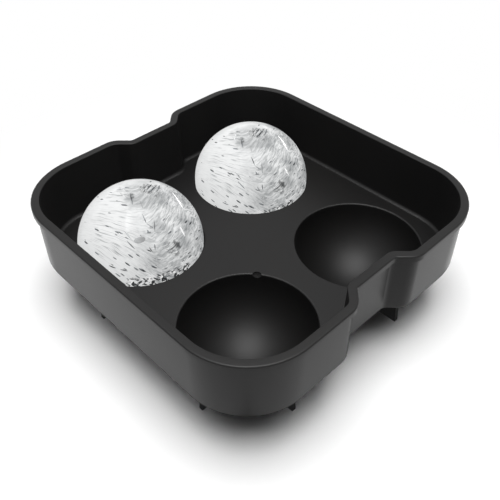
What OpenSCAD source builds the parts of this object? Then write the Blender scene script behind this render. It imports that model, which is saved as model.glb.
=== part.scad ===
// Ice ball mould: a square silicone tray with four half-ball cavities, two of them filled with ice.
// Millimetres. The origin is on the ground under the middle of the tray, and Z points up.

/* [Tray] */
// Radius of the tray's four corners, at the lip's outer edge
corner_r = 24; // [14:1:28]
// How far the deck with the cavities lies below the rim
deck_depth = 22.6; // [14:0.2:40]
// Thickness of the wall at the rim
wall_t = 1.8; // [1.2:0.1:2.6]
// Thickness of the floor between the cavities
floor_t = 2.4; // [2.1:0.1:4]
// How many degrees the inner face of the wall leans, so that the mould's core comes out
wall_draft = 0.9; // [0:0.1:1.5]
// Radius of the edge round the outside of the floor
base_r = 2; // [0.5:0.1:2]
// Radius of the fillet between the inner face of the wall and the deck
deck_fillet = 1.5; // [0.5:0.1:1.8]

/* [Lip] */
// How far the lip stands out from the wall
lip_reach = 1.1; // [0.6:0.1:1.6]
// Height of the lip's outer face
lip_h = 2.3; // [1.4:0.1:5]
// Radius of the rim's outer edge
rim_r = 0.6; // [0.2:0.1:0.9]
// Radius of the rim's inner edge
rim_inner_r = 0.3; // [0.1:0.1:0.6]

/* [Grip recesses] */
// How far the middle of a grip recess is set in from the side
grip_depth = 5.2; // [3:0.1:5.6]
// Length of the flat in the middle of a grip recess
grip_flat = 16.8; // [10:0.2:20]
// Angle between the recess's two ends and the flat
grip_slope = 45; // [40:1:60]
// Radius where the flat turns outwards
grip_root_r = 1.8; // [0.8:0.1:2]
// Radius where the recess runs out into the side
grip_shoulder_r = 7; // [6.8:0.1:7.2]

/* [Cavities] */
// Diameter of the ice balls
ball_d = 45; // [36:0.5:60]
// Gap between an ice ball and its cavity
ball_gap = 0.1; // [0.05:0.05:0.3]
// Width of the deck between the mouths of two neighbouring cavities
web_w = 8.8; // [5.6:0.2:14]
// Width of the deck between a cavity's mouth and the fillet at the wall
land_w = 3.5; // [2:0.1:8]
// Thickness of the bowls that hang below the floor
bowl_t = 1.8; // [1.4:0.1:2.6]
// Radius of the edge round each cavity's mouth
mouth_r = 0.6; // [0.3:0.1:1]
// Width of the small nick in the mouth of the front cavity
nick_w = 3.2; // [2:0.2:4]
// How far the nick reaches into the deck
nick_reach = 0.8; // [0.5:0.1:1]
// Direction of the nick from the cavity's axis
nick_turn = 128; // [90:1:180]

/* [Feet] */
// Thickness of the ribs that stand under each bowl
rib_t = 1.6; // [1.2:0.1:3]
// Distance from a bowl's axis to the outer end of its ribs
rib_reach = 21.4; // [16:0.2:24]
// How far the ribs reach below the bowls
rib_drop = 0.3; // [0.1:0.1:3]
// How far a rib's end leans in between the ground and the floor
rib_lean = 2.4; // [0:0.1:4]

/* [Hidden] */
$fn = 96;

silicone = "#2c2c2e";
ice = "#e6ebee";

// Round forms
ball_r = ball_d / 2;
cavity_r = ball_r + ball_gap;
bowl_r = cavity_r + bowl_t;

// The rounded edge of a cavity's mouth touches the ball of the cavity and the deck
mouth_x = sqrt(pow(cavity_r + mouth_r, 2) - pow(mouth_r, 2));
mouth_touch = asin(mouth_r / (cavity_r + mouth_r));

// Heights above the ground
deck_z = rib_drop + bowl_r;
floor_z = deck_z - floor_t;
rim_z = deck_z + deck_depth;

// Distances in from the lip's outer edge
rim_in = lip_reach + wall_t;
fillet_in = rim_in + (deck_depth - deck_fillet) * tan(wall_draft) + deck_fillet / cos(wall_draft);

// Where the cavities' axes are, half the tray, and where its corners and recesses are struck from
axis_at = mouth_x + web_w / 2;
half_w = axis_at + mouth_x + land_w + fillet_in;
corner_at = half_w - corner_r;
root_x = half_w - grip_depth + grip_root_r;
root_y = grip_flat / 2;
slant = (grip_depth - (grip_root_r + grip_shoulder_r) * (1 - cos(grip_slope))) / sin(grip_slope);
shoulder_x = half_w - grip_shoulder_r;
shoulder_y = root_y + (grip_root_r + grip_shoulder_r) * sin(grip_slope) + slant * cos(grip_slope);

// How many chords stand for each kind of arc
corner_steps = 18;
shoulder_steps = 5;
root_steps = 4;
base_steps = 3;
rim_steps = 3;
fillet_steps = 3;
mouth_steps = 3;

// Points along an arc, both ends among them
function arc(centre, r, from, to, steps) = [
    for (i = [0:steps])
        let (a = from + (to - from) * i / steps)
            centre + r * [cos(a), sin(a)]
];

// One side of the tray with its grip recess, from one corner to the next
function side_outline(inset) = concat(
    arc([corner_at, -corner_at], corner_r - inset, -90, 0, corner_steps),
    arc([shoulder_x, -shoulder_y], grip_shoulder_r - inset, 0, grip_slope, shoulder_steps),
    arc([root_x, -root_y], grip_root_r + inset, 180 + grip_slope, 180, root_steps),
    arc([root_x, root_y], grip_root_r + inset, 180, 180 - grip_slope, root_steps),
    arc([shoulder_x, shoulder_y], grip_shoulder_r - inset, -grip_slope, 0, shoulder_steps),
    arc([corner_at, corner_at], corner_r - inset, 0, 90, corner_steps)
);

// The tray's whole outline, a given distance in from the lip's outer edge
function outline(inset) = concat(side_outline(inset), -side_outline(inset));

// The wall in section, from the floor's edge round the lip to the deck: [distance in, height]
wall_section = concat(
    [[fillet_in, floor_z]],
    arc([lip_reach + base_r, floor_z + base_r], base_r, 270, 180, base_steps),
    [[lip_reach, rim_z - lip_h - lip_reach], [0, rim_z - lip_h]],
    arc([rim_r, rim_z - rim_r], rim_r, 180, 90, rim_steps),
    arc([rim_in - rim_inner_r, rim_z - rim_inner_r], rim_inner_r, 90, 0, rim_steps),
    arc([fillet_in, deck_z + deck_fillet], deck_fillet, 180 + wall_draft, 270, fillet_steps)
);

// The wall: its section carried round the outline
module wall() {
    rings = [for (p = wall_section) [for (q = outline(p[0])) [q[0], q[1], p[1]]]];
    count = len(rings[0]);
    polyhedron(
        points = [for (ring = rings) each ring],
        faces = [
            for (k = [0:len(rings) - 1], i = [0:count - 1])
                let (next = (k + 1) % len(rings), j = (i + 1) % count)
                    [k * count + i, next * count + i, next * count + j, k * count + j]
        ]
    );
}

// The floor, which carries the deck and ends inside the foot of the wall
module floor_plate() {
    translate([0, 0, floor_z])
        linear_extrude(floor_t)
            polygon(outline(fillet_in - deck_fillet / 2));
}

// Puts what follows on the axis of each of the four cavities
module at_each_cavity() {
    for (x = [-axis_at, axis_at], y = [-axis_at, axis_at])
        translate([x, y, 0]) children();
}

// The part of a ball that lies lower than a given depth under the deck
module half_ball(r, depth) {
    translate([0, 0, deck_z])
        rotate_extrude()
            intersection() {
                circle(r);
                translate([0, -r]) square([r, r - depth]);
            }
}

// The space inside a cavity, and above it the opening through the rounded edge of its mouth
module cavity() {
    half_ball(cavity_r, 0);
    translate([0, 0, deck_z])
        rotate_extrude()
            polygon(concat(
                [[0, 1], [0, -cavity_r * sin(mouth_touch)]],
                arc([mouth_x, -mouth_r], mouth_r, 180 - mouth_touch, 90, mouth_steps),
                [[mouth_x, 1]]
            ));
}

// The cross of two upright ribs that a bowl stands on
module rib_cross() {
    for (turn = [0, 90])
        rotate([90, 0, turn])
            linear_extrude(rib_t, center = true)
                polygon([
                    [-rib_reach, 0],
                    [rib_reach, 0],
                    [rib_reach - rib_lean, floor_z + floor_t / 2],
                    [rib_lean - rib_reach, floor_z + floor_t / 2]
                ]);
}

// The round scoop that makes the small nick in the mouth of the front cavity
module nick() {
    translate([axis_at, -axis_at, deck_z])
        rotate([0, 0, nick_turn])
            translate([mouth_x + nick_reach - nick_w / 2, 0, 0])
                sphere(d = nick_w);
}

module tray() {
    color(silicone)
        difference() {
            union() {
                wall();
                floor_plate();
                at_each_cavity() {
                    half_ball(bowl_r, floor_t / 2);
                    rib_cross();
                }
            }
            at_each_cavity() cavity();
            nick();
        }
}

// An ice ball, frozen round the level of the deck
module ice_ball() {
    color(ice)
        translate([0, 0, deck_z])
            sphere(r = ball_r);
}

module ice_ball_left() {
    translate([-axis_at, -axis_at, 0]) ice_ball();
}

module ice_ball_back() {
    translate([-axis_at, axis_at, 0]) ice_ball();
}

tray();
ice_ball_left();
ice_ball_back();
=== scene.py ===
import math

import bmesh
import bpy
from mathutils import Matrix, Vector


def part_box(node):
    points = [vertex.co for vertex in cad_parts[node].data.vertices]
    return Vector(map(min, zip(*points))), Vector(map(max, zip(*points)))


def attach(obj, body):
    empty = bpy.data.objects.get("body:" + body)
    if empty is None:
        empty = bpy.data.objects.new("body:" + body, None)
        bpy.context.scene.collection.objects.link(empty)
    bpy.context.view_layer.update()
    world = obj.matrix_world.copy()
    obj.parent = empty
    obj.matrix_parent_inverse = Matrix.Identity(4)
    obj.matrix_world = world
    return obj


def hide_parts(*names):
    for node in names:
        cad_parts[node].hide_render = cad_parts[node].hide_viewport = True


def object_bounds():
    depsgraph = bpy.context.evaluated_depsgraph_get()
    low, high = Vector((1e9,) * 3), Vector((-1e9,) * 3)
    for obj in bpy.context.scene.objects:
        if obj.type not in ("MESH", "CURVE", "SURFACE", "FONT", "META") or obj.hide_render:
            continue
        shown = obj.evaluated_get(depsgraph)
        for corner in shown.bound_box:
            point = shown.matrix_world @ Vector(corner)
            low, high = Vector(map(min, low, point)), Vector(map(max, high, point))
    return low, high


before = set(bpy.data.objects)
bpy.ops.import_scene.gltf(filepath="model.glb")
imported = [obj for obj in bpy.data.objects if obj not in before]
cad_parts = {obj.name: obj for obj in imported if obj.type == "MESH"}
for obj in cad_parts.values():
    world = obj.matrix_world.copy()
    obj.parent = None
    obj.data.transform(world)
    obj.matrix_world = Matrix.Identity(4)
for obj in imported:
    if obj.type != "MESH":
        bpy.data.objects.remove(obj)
cad_box = [list(corner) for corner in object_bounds()]

# The tray: one piece of food-grade silicone rubber, pressed in a heated steel mould. Wall, lip, deck, bowls
# and ribs are one body, so the CAD solid gives the shape. It is shown through a copy whose facets are welded
# and shaded smooth, because the real piece has round edges and no facets.
mm = 0.001
weld_gap = 0.002 * mm
shortest_edge = 0.001 * mm
sharpest_smooth_edge = math.radians(38)

shell_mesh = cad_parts["tray"].data.copy()
shell = bpy.data.objects.new("moulded_tray", shell_mesh)
bpy.context.collection.objects.link(shell)
weld = bmesh.new()
weld.from_mesh(shell_mesh)
bmesh.ops.remove_doubles(weld, verts=weld.verts, dist=weld_gap)
bmesh.ops.dissolve_degenerate(weld, edges=weld.edges, dist=shortest_edge)
for face in weld.faces:
    face.smooth = True
for edge in weld.edges:
    edge.smooth = edge.calc_face_angle(0) < sharpest_smooth_edge
weld.to_mesh(shell_mesh)
weld.free()
if "custom_normal" in shell_mesh.attributes:
    shell_mesh.attributes.remove(shell_mesh.attributes["custom_normal"])
evened = shell.modifiers.new("even_light_over_flats", "WEIGHTED_NORMAL")
evened.keep_sharp = True


def srgb(code):
    """The linear colour, with alpha 1, of a hex code such as #2c2c2e."""
    channels = [int(code[i:i + 2], 16) / 255 for i in (1, 3, 5)]
    return (*[c / 12.92 if c <= 0.04045 else ((c + 0.055) / 1.055) ** 2.4 for c in channels], 1)


def add(tree, kind, links=None, **settings):
    """Adds a node: settings are its own properties, links are its inputs' values or what feeds them."""
    node = tree.nodes.new(kind)
    for name, value in settings.items():
        setattr(node, name, value)
    for name, value in (links or {}).items():
        if isinstance(value, bpy.types.Node):
            value = next(socket for socket in value.outputs if socket.enabled)
        if isinstance(value, bpy.types.NodeSocket):
            tree.links.new(value, node.inputs[name])
        else:
            node.inputs[name].default_value = value
    return node


def span(low, high, bottom=0.0, top=1.0):
    """The inputs of a range that carries low..high to bottom..top."""
    return {"From Min": low, "From Max": high, "To Min": bottom, "To Max": top}


def material(name):
    """An empty node material, and the tree to fill."""
    made = bpy.data.materials.new(name)
    made.use_nodes = True
    made.node_tree.nodes.clear()
    return made, made.node_tree


# Moulded silicone rubber, filled with carbon black: nearly black, with a soft sheen that turns pale only at
# a grazing angle. A faint bloom of oil clouds it, and the fine grain of the mould's face breaks it up.
bloom_w = 30 * mm
grain_w = 0.4 * mm
grain_depth = 0.05 * mm
silicone, tree = material("moulded_black_silicone")
place = add(tree, "ShaderNodeTexCoord").outputs["Object"]
bloom = add(tree, "ShaderNodeTexNoise", {"Vector": place, "Scale": 1 / bloom_w, "Detail": 3})
tint = add(tree, "ShaderNodeMix", {
    "Factor": bloom, "A": srgb("#0b0b0c"), "B": srgb("#100f0e")}, data_type="RGBA")
grain = add(tree, "ShaderNodeTexNoise", {"Vector": place, "Scale": 1 / grain_w, "Detail": 2})
relief = add(tree, "ShaderNodeBump", {"Height": grain, "Strength": 0.15, "Distance": grain_depth})

# How far a point is from the middle of the nearest cavity, and from that of the nick, which is a round scoop
# out of the front cavity's mouth, at a distance and a turn from that cavity's axis
ball_low, ball_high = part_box("ice_ball_back")
_, cavity_at, deck_z = (ball_low + ball_high) / 2
cavity_r = 22.6 * mm
quarter = add(tree, "ShaderNodeVectorMath", {0: place}, operation="ABSOLUTE")
from_cavity = add(tree, "ShaderNodeVectorMath", {
    0: quarter, 1: (cavity_at, cavity_at, deck_z)}, operation="DISTANCE")
nick_r = 1.6 * mm
nick_out = 22.392 * mm
nick_turn = math.radians(128)
nick_at = (cavity_at + nick_out * math.cos(nick_turn), nick_out * math.sin(nick_turn) - cavity_at, deck_z)
from_nick = add(tree, "ShaderNodeVectorMath", {0: place, 1: nick_at}, operation="DISTANCE")

# How far a face looks outwards from the tray's middle, and how far upwards
facing = add(tree, "ShaderNodeNewGeometry").outputs["Normal"]
aside = add(tree, "ShaderNodeVectorMath", {0: place, 1: (1, 1, 0)}, operation="MULTIPLY")
aside = add(tree, "ShaderNodeVectorMath", {0: aside}, operation="NORMALIZE")
outwards = add(tree, "ShaderNodeVectorMath", {0: facing, 1: aside}, operation="DOT_PRODUCT")
upwards = add(tree, "ShaderNodeSeparateXYZ", {"Vector": facing}).outputs["Z"]

# The outer walls keep the mould's sheen. The cavities, the inner walls, the nick and the deck are duller:
# for each, the reading at which it starts, the one at which it is whole, and its roughness there.
sheen = 0.26
unevenness = 0.03
duller = [
    (from_cavity, cavity_r + 1.2 * mm, cavity_r + 0.7 * mm, 0.48),
    (outwards, -0.3, -0.6, 0.5),
    (from_nick, nick_r + 0.2 * mm, nick_r, 0.9),
    (upwards, 0.5, 0.9, 0.42),
]
rough = sheen
for reading, start, whole, dullness in duller:
    zone = add(tree, "ShaderNodeMapRange", {"Value": reading, **span(start, whole, sheen, dullness)})
    rough = add(tree, "ShaderNodeMath", {0: rough, 1: zone}, operation="MAXIMUM")
clouds = add(tree, "ShaderNodeMapRange", {"Value": bloom, **span(0, 1, -unevenness, unevenness)})
rough = add(tree, "ShaderNodeMath", {0: rough, 1: clouds}, operation="ADD")
skin = add(tree, "ShaderNodeBsdfPrincipled", {
    "Base Color": tint, "Roughness": rough, "Normal": relief, "IOR": 1.41})
add(tree, "ShaderNodeOutputMaterial", {"Surface": skin})
shell_mesh.materials.clear()
shell_mesh.materials.append(silicone)
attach(shell, "root")
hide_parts("tray")

# The ice balls: water frozen in the closed mould, loose in their cavities and halfway sunk in them. The ice
# set from the rubber inwards and drove its air before it, which left fine needles, cracks and a flat bubble.
# The marked side of each faces along an azimuth and an elevation, and is rolled about them, all in degrees.
ball_r = 22.5 * mm
ice_balls = {
    "ice_ball_left": {"azimuth": -31.8, "elevation": 41.0, "roll": -8.3, "flat_bubble": True},
    "ice_ball_back": {"azimuth": -44.4, "elevation": 32.5, "roll": 0.0, "flat_bubble": False},
}

# Home-made ice: clear and wet, so it mirrors the studio sharply. It is white partly by a painted glow that
# stands in for the light that wanders inside it, and the air and cracks in it show as grey hairs that all
# sweep one way, thickest towards one side.
ice, tree = material("cracked_wet_ice")
in_ball = add(tree, "ShaderNodeAttribute", attribute_name="in_ball").outputs["Vector"]
sweep = add(tree, "ShaderNodeAttribute", attribute_name="sweep").outputs["Vector"]
side, height, _ = add(tree, "ShaderNodeSeparateXYZ", {"Vector": in_ball}).outputs
thick = add(tree, "ShaderNodeMapRange", {"Value": side, **span(-0.4, 0.5)}, interpolation_type="SMOOTHSTEP")
off_poles = add(tree, "ShaderNodeMath", {0: height}, operation="ABSOLUTE")
off_poles = add(tree, "ShaderNodeMapRange", {"Value": off_poles, **span(0.93, 0.78)})


def hairs(width, length, detail, distortion=0.0):
    """Noise drawn out along the sweep of the needles, for hairs of a real width and length."""
    drawn = add(tree, "ShaderNodeVectorMath", {
        0: sweep, 1: (ball_r / width, ball_r / length, ball_r / length)}, operation="MULTIPLY")
    return add(tree, "ShaderNodeTexNoise", {
        "Vector": drawn, "Scale": 1, "Detail": detail, "Distortion": distortion})


# Places in the ball, shifted a little to and fro so that what is placed by them has torn edges
tear_w = 2.8125 * mm
tear_reach = 0.3
torn = add(tree, "ShaderNodeTexNoise", {"Vector": in_ball, "Scale": ball_r / tear_w, "Detail": 2})
torn = add(tree, "ShaderNodeVectorMath", {0: torn.outputs["Color"], 1: (0.5, 0.5, 0.5)}, operation="SUBTRACT")
torn = add(tree, "ShaderNodeVectorMath", {
    0: torn, 1: (tear_reach, tear_reach, tear_reach), 2: in_ball}, operation="MULTIPLY_ADD")


def near(places):
    """One in the middle of each place and none past its torn edge, its reach away, both in ball radii."""
    share = 0.0
    for middle, reach in places:
        gap = add(tree, "ShaderNodeVectorMath", {0: torn, 1: middle}, operation="DISTANCE")
        one = add(tree, "ShaderNodeMapRange", {
            "Value": gap, **span(reach, reach * 0.5)}, interpolation_type="SMOOTHSTEP")
        share = add(tree, "ShaderNodeMath", {0: share, 1: one}, operation="MAXIMUM")
    return share


# A fur of fine hairs where the ice is thick with air, and longer lines on the clear side, most of them in
# two patches. They stop short of the ball's top and bottom, where the sweep closes into rings.
fur = hairs(width=0.585 * mm, length=2.25 * mm, detail=3, distortion=0.9)
fur = add(tree, "ShaderNodeMapRange", {"Value": fur, **span(0.42, 0.68)})
fur_share = add(tree, "ShaderNodeMapRange", {"Value": thick, **span(0, 1, 0.05, 0.75)})
fur = add(tree, "ShaderNodeMath", {0: fur, 1: fur_share}, operation="MULTIPLY")
line = hairs(width=0.54 * mm, length=5.4 * mm, detail=0.5)
line = add(tree, "ShaderNodeMapRange", {"Value": line, **span(0.54, 0.72)})
line_share = add(tree, "ShaderNodeMapRange", {"Value": side, **span(-0.25, 0.05, 0.65, 0)})
line = add(tree, "ShaderNodeMath", {0: line, 1: line_share}, operation="MULTIPLY")
veined = near([((-0.30, 0.18, 0.94), 0.62), ((-0.30, 0.66, 0.69), 0.3)])
veined = add(tree, "ShaderNodeMapRange", {"Value": veined, **span(0, 1, 0.2, 1)})
line = add(tree, "ShaderNodeMath", {0: line, 1: veined}, operation="MULTIPLY")
grey = add(tree, "ShaderNodeMath", {0: fur, 1: line}, operation="MAXIMUM")
grey = add(tree, "ShaderNodeMath", {0: grey, 1: off_poles}, operation="MULTIPLY")

# Soft clouds of air too fine to see singly, thickest on the same side, and two streaked patches of haze
cloud_w = 6.43 * mm
cloud = add(tree, "ShaderNodeTexNoise", {"Vector": in_ball, "Scale": ball_r / cloud_w, "Detail": 3})
cloud = add(tree, "ShaderNodeMapRange", {"Value": cloud, **span(0.35, 0.7)})
cloud_share = add(tree, "ShaderNodeMapRange", {"Value": thick, **span(0, 1, 0.1, 1.0)})
cloud = add(tree, "ShaderNodeMath", {0: cloud, 1: cloud_share}, operation="MULTIPLY")
haze = near([((-0.13, 0.86, 0.49), 0.3), ((0.05, 0.72, 0.69), 0.42)])
streaks = hairs(width=1.575 * mm, length=6.75 * mm, detail=3, distortion=1.2)
streaks = add(tree, "ShaderNodeMapRange", {"Value": streaks, **span(0.38, 0.62, 0.15, 0.85)})
haze = add(tree, "ShaderNodeMath", {0: haze, 1: streaks}, operation="MULTIPLY")
haze = add(tree, "ShaderNodeMath", {0: haze, 1: off_poles}, operation="MULTIPLY")

# Knots of cracks, and the places at the mould's parting line where the ice burst into splinters as it swelled
splinter_w = 0.8333 * mm
knots = near([((0.14, 0.80, 0.58), 0.22), ((-0.16, 0.68, 0.72), 0.1), ((0.46, -0.10, 0.88), 0.17)])
scribble = hairs(width=1.125 * mm, length=3.375 * mm, detail=4, distortion=1.5)
scribble = add(tree, "ShaderNodeMapRange", {"Value": scribble, **span(0.46, 0.62, 0, 0.85)})
dark = add(tree, "ShaderNodeMath", {0: knots, 1: scribble}, operation="MULTIPLY")
burst = near([
    ((-0.08, -0.64, 0.76), 0.2), ((0.12, -0.62, 0.77), 0.17), ((0.32, -0.58, 0.75), 0.16),
    ((0.52, -0.52, 0.68), 0.15), ((0.68, -0.42, 0.60), 0.12)])
splinter = add(tree, "ShaderNodeTexVoronoi", {
    "Vector": in_ball, "Scale": ball_r / splinter_w}, distance="CHEBYCHEV")
splinter = add(tree, "ShaderNodeSeparateColor", {"Color": splinter.outputs["Color"]})
black = add(tree, "ShaderNodeMapRange", {"Value": splinter, **span(0.55, 0.65, 0, 0.95)})
black = add(tree, "ShaderNodeMath", {0: burst, 1: black}, operation="MULTIPLY")
white = add(tree, "ShaderNodeMapRange", {"Value": splinter, **span(0.3, 0.2)})
white = add(tree, "ShaderNodeMath", {0: burst, 1: white}, operation="MULTIPLY")
dark = add(tree, "ShaderNodeMath", {0: dark, 1: black}, operation="MAXIMUM")

# What lies over the clear ice, one on the other, and how the ice's light is shared: a part comes back off
# its skin, and a part is a painted glow, standing in for the light that wanders inside the ice
tone = srgb("#fafbfb")
layers = [(cloud, "#b4b6b7"), (haze, "#a6a8a9"), (grey, "#7c8082"), (white, "#ffffff"), (dark, "#202325")]
for share, colour in layers:
    tone = add(tree, "ShaderNodeMix", {"Factor": share, "A": tone, "B": srgb(colour)}, data_type="RGBA")
off_skin = 0.25
painted_inner_glow = 0.65
lit = add(tree, "ShaderNodeVectorMath", {0: tone, "Scale": off_skin}, operation="SCALE")
relief = add(tree, "ShaderNodeBump", {"Height": grey, "Strength": 0.15, "Distance": -0.1 * mm})
# The emission is painted light: an even glow from inside the ice that no lamp gives
body = add(tree, "ShaderNodeBsdfPrincipled", {
    "Base Color": lit, "Roughness": 0.08, "IOR": 1.31, "Normal": relief,
    "Emission Color": tone, "Emission Strength": painted_inner_glow})
add(tree, "ShaderNodeOutputMaterial", {"Surface": body})

# Air in ice: a bubble turns light aside and shows the black rubber below the ball, so it looks dark grey. A
# faint painted glow lightens it, and each mark is paled by its own share, up to the plain white of the two
# strips that are painted highlights.
depth_w = 3 * mm
air_and_painted_highlights, tree = material("trapped_air_and_painted_highlights")
place = add(tree, "ShaderNodeTexCoord").outputs["Object"]
depth = add(tree, "ShaderNodeTexNoise", {"Vector": place, "Scale": 1 / depth_w, "Detail": 1})
depth = add(tree, "ShaderNodeMapRange", {"Value": depth, **span(0.35, 0.65)})
shade = add(tree, "ShaderNodeMix", {
    "Factor": depth, "A": srgb("#2c2f31"), "B": srgb("#808486")}, data_type="RGBA")
paleness_and_painted_highlight = add(tree, "ShaderNodeAttribute", attribute_name="paleness_and_painted_highlight").outputs["Fac"]
# Paled towards white: the near-white of the first two strips is a painted highlight
shade = add(tree, "ShaderNodeMix", {"Factor": paleness_and_painted_highlight, "A": shade, "B": srgb("#ffffff")}, data_type="RGBA")
# The emission is a faint painted glow that no lamp gives
film = add(tree, "ShaderNodeBsdfPrincipled", {
    "Base Color": shade, "Roughness": 0.2, "IOR": 1.31, "Emission Color": shade, "Emission Strength": 0.3})
add(tree, "ShaderNodeOutputMaterial", {"Surface": film})

# How one ball is made: a round ball that has melted a little, with needles of air lying along the sweep
freezing = bpy.data.node_groups.new("freezing_ball", "GeometryNodeTree")
tree = freezing
sizes = {
    "Radius": ball_r, "Melt": 0.12 * mm, "Needle Length": 0.8 * mm, "Needle Width": 0.2 * mm,
    "Needle Depth": 0.09 * mm, "Needles per m2": 110000.0}
for name, value in sizes.items():
    tree.interface.new_socket(name, in_out="INPUT", socket_type="NodeSocketFloat").default_value = value
tree.interface.new_socket("Flat Bubble", in_out="INPUT", socket_type="NodeSocketBool")
tree.interface.new_socket("Geometry", in_out="OUTPUT", socket_type="NodeSocketGeometry")
given = add(tree, "NodeGroupInput").outputs

# The sweep: lines that climb away from a leaning, rounded fold on both sides, and swing a little as they go.
# The fold's place and roundness and the reach of the swing are in ball radii.
fold_at = 0.15
fold_lean = 0.35
fold_round = 0.012
swing_w = 7.5 * mm
swing_reach = 0.12
here = add(tree, "GeometryNodeInputPosition")
outward = add(tree, "ShaderNodeVectorMath", {0: here}, operation="NORMALIZE")
axes = add(tree, "ShaderNodeSeparateXYZ", {"Vector": outward}).outputs
rightward = add(tree, "ShaderNodeMath", {
    0: axes["Y"], 1: fold_lean, 2: axes["X"]}, operation="MULTIPLY_ADD")
rightward = add(tree, "ShaderNodeMath", {0: rightward, 1: fold_at}, operation="SUBTRACT")
squared = add(tree, "ShaderNodeMath", {
    0: rightward, 1: rightward, 2: fold_round}, operation="MULTIPLY_ADD")
off_middle = add(tree, "ShaderNodeMath", {0: squared}, operation="SQRT")
left_lean = add(tree, "ShaderNodeMapRange", {"Value": axes["Y"], **span(0.5, -0.1, 0.15, 1.0)})
right_lean = add(tree, "ShaderNodeMapRange", {"Value": axes["Y"], **span(-0.5, 0.8, 0.55, 0.95)})
to_right = add(tree, "ShaderNodeMapRange", {"Value": rightward, **span(-0.2, 0.2)})
lean = add(tree, "ShaderNodeMix", {
    "Factor": to_right, "A": left_lean, "B": right_lean}, data_type="FLOAT")
fall = add(tree, "ShaderNodeMath", {0: off_middle, 1: lean}, operation="MULTIPLY")
across = add(tree, "ShaderNodeMath", {0: axes["Y"], 1: fall}, operation="SUBTRACT")
swing = add(tree, "ShaderNodeTexNoise", {"Vector": outward, "Scale": ball_r / swing_w, "Detail": 2.0})
across = add(tree, "ShaderNodeMath", {0: swing, 1: swing_reach, 2: across}, operation="MULTIPLY_ADD")
swept = add(tree, "ShaderNodeCombineXYZ", {"X": across, "Y": axes["X"], "Z": axes["Z"]})

# The ball itself, which keeps its places and its sweep for the material, with shallow hollows melted in it
hollow_w = 4.5 * mm
ball = add(tree, "GeometryNodeMeshIcoSphere", {"Radius": given["Radius"], "Subdivisions": 6})
ball = add(tree, "GeometryNodeStoreNamedAttribute", {
    "Geometry": ball, "Name": "in_ball", "Value": outward}, data_type="FLOAT_VECTOR")
ball = add(tree, "GeometryNodeStoreNamedAttribute", {
    "Geometry": ball, "Name": "sweep", "Value": swept}, data_type="FLOAT_VECTOR")
hollows = add(tree, "ShaderNodeTexNoise", {"Vector": outward, "Scale": ball_r / hollow_w, "Detail": 2.0})
melted = add(tree, "ShaderNodeMath", {0: hollows, 1: given["Melt"]}, operation="MULTIPLY")
melted = add(tree, "ShaderNodeMath", {0: melted, 1: -1.0}, operation="MULTIPLY")
inwards = add(tree, "ShaderNodeVectorMath", {0: outward, "Scale": melted}, operation="SCALE")
ball = add(tree, "GeometryNodeSetPosition", {"Geometry": ball, "Offset": inwards})
ball = add(tree, "GeometryNodeSetShadeSmooth", {"Geometry": ball})

# The needles: small long bubbles, most of them low on the ball, which lie flat in its skin along the sweep
crowding = add(tree, "ShaderNodeMapRange", {"Value": axes["Y"], **span(0.3, -0.5, 0.15, 1.0)})
density = add(tree, "ShaderNodeMath", {0: crowding, 1: given["Needles per m2"]}, operation="MULTIPLY")
starts = add(tree, "GeometryNodeDistributePointsOnFaces", {"Mesh": ball, "Density": density, "Seed": 7})
steepness = add(tree, "ShaderNodeMath", {0: rightward, 1: off_middle}, operation="DIVIDE")
steepness = add(tree, "ShaderNodeMath", {0: steepness, 1: lean}, operation="MULTIPLY")
steepness = add(tree, "ShaderNodeMath", {0: steepness, 1: -1.0}, operation="MULTIPLY")
upward = add(tree, "ShaderNodeMath", {0: steepness, 1: fold_lean, 2: 1.0}, operation="MULTIPLY_ADD")
uphill = add(tree, "ShaderNodeCombineXYZ", {"X": steepness, "Y": upward})
along = add(tree, "ShaderNodeVectorMath", {0: uphill, 1: outward}, operation="CROSS_PRODUCT")
upright = add(tree, "FunctionNodeAlignRotationToVector", {"Vector": outward}, axis="Z")
laid = add(tree, "FunctionNodeAlignRotationToVector", {
    "Rotation": upright, "Vector": along}, axis="X", pivot_axis="Z")
needle = add(tree, "GeometryNodeMeshIcoSphere", {"Radius": 1.0, "Subdivisions": 2})
size = add(tree, "ShaderNodeCombineXYZ", {
    "X": given["Needle Length"], "Y": given["Needle Width"], "Z": given["Needle Depth"]})
spread = add(tree, "FunctionNodeRandomValue", {"Min": 0.4, "Max": 1.5, "Seed": 3}, data_type="FLOAT")
size = add(tree, "ShaderNodeVectorMath", {0: size, "Scale": spread}, operation="SCALE")
needles = add(tree, "GeometryNodeInstanceOnPoints", {
    "Points": starts, "Instance": needle, "Rotation": laid, "Scale": size})

# The flat bubble that one ball has: a lens of air in its skin, near the middle of the marked side
flat_at = (-0.6 * mm, 0.4 * mm, ball_r - 0.08 * mm)
flat_turn = (0.0, 0.0, math.radians(15))
flat_reach = (1.9 * mm, 1.05 * mm, 0.12 * mm)
flat = add(tree, "GeometryNodeMeshIcoSphere", {"Radius": 1.0, "Subdivisions": 3})
flat = add(tree, "GeometryNodeTransform", {
    "Geometry": flat, "Translation": flat_at, "Rotation": flat_turn, "Scale": flat_reach})
flat = add(tree, "GeometryNodeStoreNamedAttribute", {"Geometry": flat, "Name": "paleness_and_painted_highlight", "Value": 0.25})
flat = add(tree, "GeometryNodeSwitch", {"Switch": given["Flat Bubble"], "True": flat}, input_type="GEOMETRY")
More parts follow.
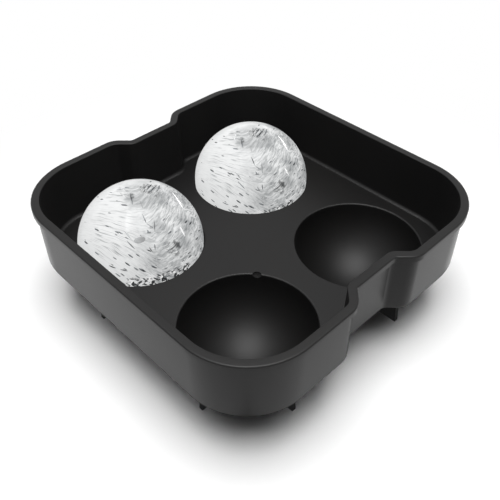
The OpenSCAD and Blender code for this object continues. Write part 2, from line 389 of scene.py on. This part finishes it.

# The single cracks that stand out, and first in the list two white strips that are painted highlights: where
# on the marked side each starts and ends, across and up in ball radii, its half width in millimetres, and how
# pale it is, up to the white of the painted highlights. Each is sunk by a share of its half width.
cracks_and_highlight_strips = [
    ((0.467, 0.757), (0.635, 0.492), 0.42, 1.0), ((0.565, 0.227), (0.649, 0.074), 0.42, 0.9),
    ((0.007, 0.409), (0.070, 0.262), 0.20, 0.0), ((0.070, 0.262), (0.180, 0.185), 0.16, 0.1),
    ((0.180, 0.325), (0.195, 0.130), 0.18, 0.1), ((0.160, 0.880), (0.077, 0.771), 0.36, 0.0),
    ((0.223, 0.855), (0.105, 0.715), 0.40, 0.0), ((0.279, 0.870), (0.237, 0.757), 0.32, 0.0),
    ((-0.170, 0.730), (-0.126, 0.534), 0.30, 0.05), ((-0.216, 0.010), (-0.090, -0.121), 0.24, 0.05),
    ((-0.258, 0.158), (-0.146, 0.030), 0.20, 0.2), ((-0.480, -0.358), (-0.370, -0.400), 0.26, 0.0),
    ((-0.314, -0.414), (-0.200, -0.442), 0.24, 0.05), ((0.188, -0.038), (0.200, -0.135), 0.22, 0.05),
    ((0.105, -0.080), (0.160, -0.163), 0.20, 0.1), ((-0.020, 0.600), (0.020, 0.480), 0.20, 0.2),
    ((0.080, 0.170), (0.110, 0.120), 0.26, 0.0), ((-0.341, 0.840), (-0.205, 0.700), 0.30, 0.45),
    ((-0.355, 0.770), (-0.225, 0.640), 0.26, 0.5)]
mark_points = 9
mark_sides = 8
mark_sink = 0.7
paths = add(tree, "GeometryNodeJoinGeometry")
for start, end, half_width, paleness_and_painted_highlight in cracks_and_highlight_strips:
    start, end = (Vector((x, y, math.sqrt(1 - x * x - y * y))) * ball_r for x, y in (start, end))
    path = add(tree, "GeometryNodeCurvePrimitiveLine", {"Start": start, "End": end})
    path = add(tree, "GeometryNodeSetCurveRadius", {"Curve": path, "Radius": half_width * mm})
    path = add(tree, "GeometryNodeStoreNamedAttribute", {"Geometry": path, "Name": "paleness_and_painted_highlight", "Value": paleness_and_painted_highlight})
    tree.links.new(path.outputs[0], paths.inputs[0])
paths = add(tree, "GeometryNodeResampleCurve", {"Curve": paths, "Count": mark_points})
passed = add(tree, "GeometryNodeSplineParameter").outputs["Factor"]
passed = add(tree, "ShaderNodeMath", {0: passed, 1: math.pi}, operation="MULTIPLY")
taper = add(tree, "ShaderNodeMath", {0: passed}, operation="SINE")
taper = add(tree, "ShaderNodeMath", {
    0: taper, 1: add(tree, "GeometryNodeInputRadius")}, operation="MULTIPLY")
section = add(tree, "GeometryNodeCurvePrimitiveCircle", {"Resolution": mark_sides, "Radius": 1.0})
sunk = add(tree, "ShaderNodeMath", {
    0: taper, 1: -mark_sink, 2: given["Radius"]}, operation="MULTIPLY_ADD")
in_skin = add(tree, "ShaderNodeVectorMath", {0: outward, "Scale": sunk}, operation="SCALE")
paths = add(tree, "GeometryNodeSetPosition", {"Geometry": paths, "Position": in_skin})
split_and_highlight_strips = add(tree, "GeometryNodeCurveToMesh", {"Curve": paths, "Profile Curve": section, "Scale": taper})

bubbles_and_highlight_strips = add(tree, "GeometryNodeJoinGeometry")
for part in (flat, needles, split_and_highlight_strips):
    tree.links.new(part.outputs[0], bubbles_and_highlight_strips.inputs[0])
bubbles_and_highlight_strips = add(tree, "GeometryNodeRealizeInstances", {"Geometry": bubbles_and_highlight_strips})
bubbles_and_highlight_strips = add(tree, "GeometryNodeSetShadeSmooth", {"Geometry": bubbles_and_highlight_strips})
bubbles_and_highlight_strips = add(tree, "GeometryNodeSetMaterial", {"Geometry": bubbles_and_highlight_strips, "Material": air_and_painted_highlights})
ball = add(tree, "GeometryNodeSetMaterial", {"Geometry": ball, "Material": ice})
whole = add(tree, "GeometryNodeJoinGeometry")
for part in (bubbles_and_highlight_strips, ball):
    tree.links.new(part.outputs[0], whole.inputs[0])
add(tree, "NodeGroupOutput", {"Geometry": whole})


def axes_facing(azimuth, elevation):
    """Right, up and out, as seen on a thing that faces along an azimuth and an elevation in degrees."""
    azimuth, elevation = math.radians(azimuth), math.radians(elevation)
    level = math.cos(elevation)
    out = Vector((math.cos(azimuth) * level, math.sin(azimuth) * level, math.sin(elevation)))
    right = Vector((-math.sin(azimuth), math.cos(azimuth), 0))
    return right, out.cross(right), out


for name, lie in ice_balls.items():
    seed = bpy.data.objects.new("seed", bpy.data.meshes.new("seed"))
    bpy.context.collection.objects.link(seed)
    grown = seed.modifiers.new("freezing", "NODES")
    grown.node_group = freezing
    grown[freezing.interface.items_tree["Flat Bubble"].identifier] = lie["flat_bubble"]
    mesh = bpy.data.meshes.new_from_object(seed.evaluated_get(bpy.context.evaluated_depsgraph_get()))
    bpy.data.objects.remove(seed)
    turn = Matrix(axes_facing(lie["azimuth"], lie["elevation"])).transposed().to_4x4()
    turn = turn @ Matrix.Rotation(math.radians(lie["roll"]), 4, "Z")
    low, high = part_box(name)
    mesh.transform(Matrix.Translation((low + high) / 2) @ turn)
    ball_of_ice = bpy.data.objects.new(name + "_frozen", mesh)
    bpy.context.collection.objects.link(ball_of_ice)
    ball_of_ice.visible_glossy = False
    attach(ball_of_ice, "root")
    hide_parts(name)

# The studio's floor: a wide sweep of white paper, lit softly from above. What the tray mirrors of it is a
# plain white glow with painted shade: a painted shadow under the tray, and painted shade that dims it
# towards the front corner. Away from the tray it burns out to plain white.
sweep_reach = 3
tray_edge = 56 * mm
tray_clear = 68 * mm
painted_shadow_level = 0.15
dim_reach = 60 * mm
painted_front_shade_level = 0.72
shadow_r = 85 * mm
burnt_out_r = 170 * mm
to_front_corner = (math.sqrt(0.5), -math.sqrt(0.5), 0)
floor_mesh = bpy.data.meshes.new("floor")
floor_corners = [(x * sweep_reach, y * sweep_reach, 0) for x, y in ((-1, -1), (1, -1), (1, 1), (-1, 1))]
floor_mesh.from_pydata(floor_corners, [], [(0, 1, 2, 3)])
floor = bpy.data.objects.new("floor", floor_mesh)
bpy.context.collection.objects.link(floor)
white, tree = material("white_paper_sweep")
paper = add(tree, "ShaderNodeBsdfDiffuse", {"Color": srgb("#f4f4f4")})
rays = add(tree, "ShaderNodeLightPath").outputs
mirrored = add(tree, "ShaderNodeMath", {
    0: rays["Is Glossy Ray"], 1: rays["Is Transmission Ray"]}, operation="MAXIMUM")
ground = add(tree, "ShaderNodeTexCoord").outputs["Object"]
# Painted shade in the mirrored floor: dimmer towards the front corner, with a painted shadow under the tray
dimmer = add(tree, "ShaderNodeVectorMath", {0: ground, 1: to_front_corner}, operation="DOT_PRODUCT")
dimmer = add(tree, "ShaderNodeMapRange", {"Value": dimmer, **span(0, dim_reach, 1, painted_front_shade_level)})
sideways = add(tree, "ShaderNodeVectorMath", {0: ground}, operation="ABSOLUTE")
sideways = add(tree, "ShaderNodeSeparateXYZ", {"Vector": sideways}).outputs
clear = add(tree, "ShaderNodeMath", {0: sideways["X"], 1: sideways["Y"]}, operation="MAXIMUM")
clear = add(tree, "ShaderNodeMapRange", {"Value": clear, **span(tray_edge, tray_clear, painted_shadow_level, 1)})
dimmer = add(tree, "ShaderNodeMath", {0: dimmer, 1: clear}, operation="MULTIPLY")
glow = add(tree, "ShaderNodeEmission", {"Color": srgb("#ffffff"), "Strength": dimmer})
both = add(tree, "ShaderNodeMixShader", {0: mirrored, 1: paper, 2: glow})
away = add(tree, "ShaderNodeVectorMath", {0: ground}, operation="LENGTH")
away = add(tree, "ShaderNodeMapRange", {
    "Value": away, **span(shadow_r, burnt_out_r)}, interpolation_type="SMOOTHSTEP")
away = add(tree, "ShaderNodeMath", {0: away, 1: rays["Is Camera Ray"]}, operation="MULTIPLY")
backlit = add(tree, "ShaderNodeEmission", {"Color": srgb("#ffffff"), "Strength": 1})
both = add(tree, "ShaderNodeMixShader", {0: away, 1: both, 2: backlit})
add(tree, "ShaderNodeOutputMaterial", {"Surface": both})
floor_mesh.materials.append(white)

# Behind it all stands a round white screen, lit evenly from behind, which only the camera sees
screen_r, screen_h, screen_sides = 2.9, 4.0, 64
turns = [2 * math.pi * i / screen_sides for i in range(screen_sides)]
rings = [(screen_r * math.cos(a), screen_r * math.sin(a), z) for z in (0, screen_h) for a in turns]
beside = [*range(1, screen_sides), 0]
panels = [(i, j, screen_sides + j, screen_sides + i) for i, j in enumerate(beside)]
screen_mesh = bpy.data.meshes.new("screen")
screen_mesh.from_pydata(rings, [], panels)
screen = bpy.data.objects.new("screen", screen_mesh)
bpy.context.collection.objects.link(screen)
plain, tree = material("backlit_white_screen")
add(tree, "ShaderNodeOutputMaterial", {"Surface": add(tree, "ShaderNodeEmission", {"Strength": 1.0})})
screen_mesh.materials.append(plain)
screen.visible_diffuse = screen.visible_glossy = screen.visible_transmission = screen.visible_shadow = False

# The room is nearly dark, so that the lamps shape the tray, but the rubber and the ice mirror pale walls
dark_room = 0.03
pale_walls = 0.75
world = bpy.data.worlds.new("studio")
world.use_nodes = True
tree = world.node_tree
tree.nodes.clear()
rays = add(tree, "ShaderNodeLightPath").outputs
room = add(tree, "ShaderNodeBackground", {"Color": srgb("#ffffff"), "Strength": dark_room})
walls = add(tree, "ShaderNodeBackground", {"Color": srgb("#ffffff"), "Strength": pale_walls})
sky = add(tree, "ShaderNodeMixShader", {0: rays["Is Glossy Ray"], 1: room, 2: walls})
add(tree, "ShaderNodeOutputWorld", {"Surface": sky})
bpy.context.scene.world = world


def softbox(name, start, end, width, power):
    """A lamp as long as from start to end and as wide as said, in metres, that faces the tray."""
    start, end = Vector(start), Vector(end)
    lamp = bpy.data.lights.new(name, "AREA")
    lamp.shape, lamp.size, lamp.size_y, lamp.energy = "RECTANGLE", (end - start).length, width, power
    box = bpy.data.objects.new(name, lamp)
    backward = ((start + end) / 2).normalized()
    lengthwise = (end - start).normalized()
    crosswise = backward.cross(lengthwise).normalized()
    turn = Matrix((crosswise.cross(backward), crosswise, backward)).transposed()
    box.matrix_world = Matrix.Translation((start + end) / 2) @ turn.to_4x4()
    box.visible_camera = False
    bpy.context.collection.objects.link(box)
    return box


# Two softboxes hang over the tray, a little towards its front corner. Only the first shows in reflections.
softbox("key", start=(-0.137, -0.320, 0.891), end=(0.317, 0.145, 0.891), width=0.65, power=7.5)
fill = softbox("fill", start=(-0.14, -0.28, 0.88), end=(0.28, 0.14, 0.88), width=0.9, power=4.7)
fill.visible_glossy = False

# The camera stands where the photograph's did: found from the rim, the cavities and the balls
distance = 221.45 * mm
right_shift = 0.188 * mm
down_shift = 19.536 * mm
right, up, back = axes_facing(azimuth=-44.311, elevation=42.414)
rim_middle = Vector((0, 0, cad_box[1][2]))
lens = bpy.data.cameras.new("camera")
lens.sensor_width, lens.lens = 36, 47.22
lens.clip_start = 0.01
camera = bpy.data.objects.new("camera", lens)
camera.location = rim_middle + back * distance + right * right_shift - up * down_shift
camera.rotation_euler = back.to_track_quat("Z", "Y").to_euler()
bpy.context.collection.objects.link(camera)
bpy.context.scene.camera = camera

bpy.context.scene.view_settings.view_transform = "Standard"
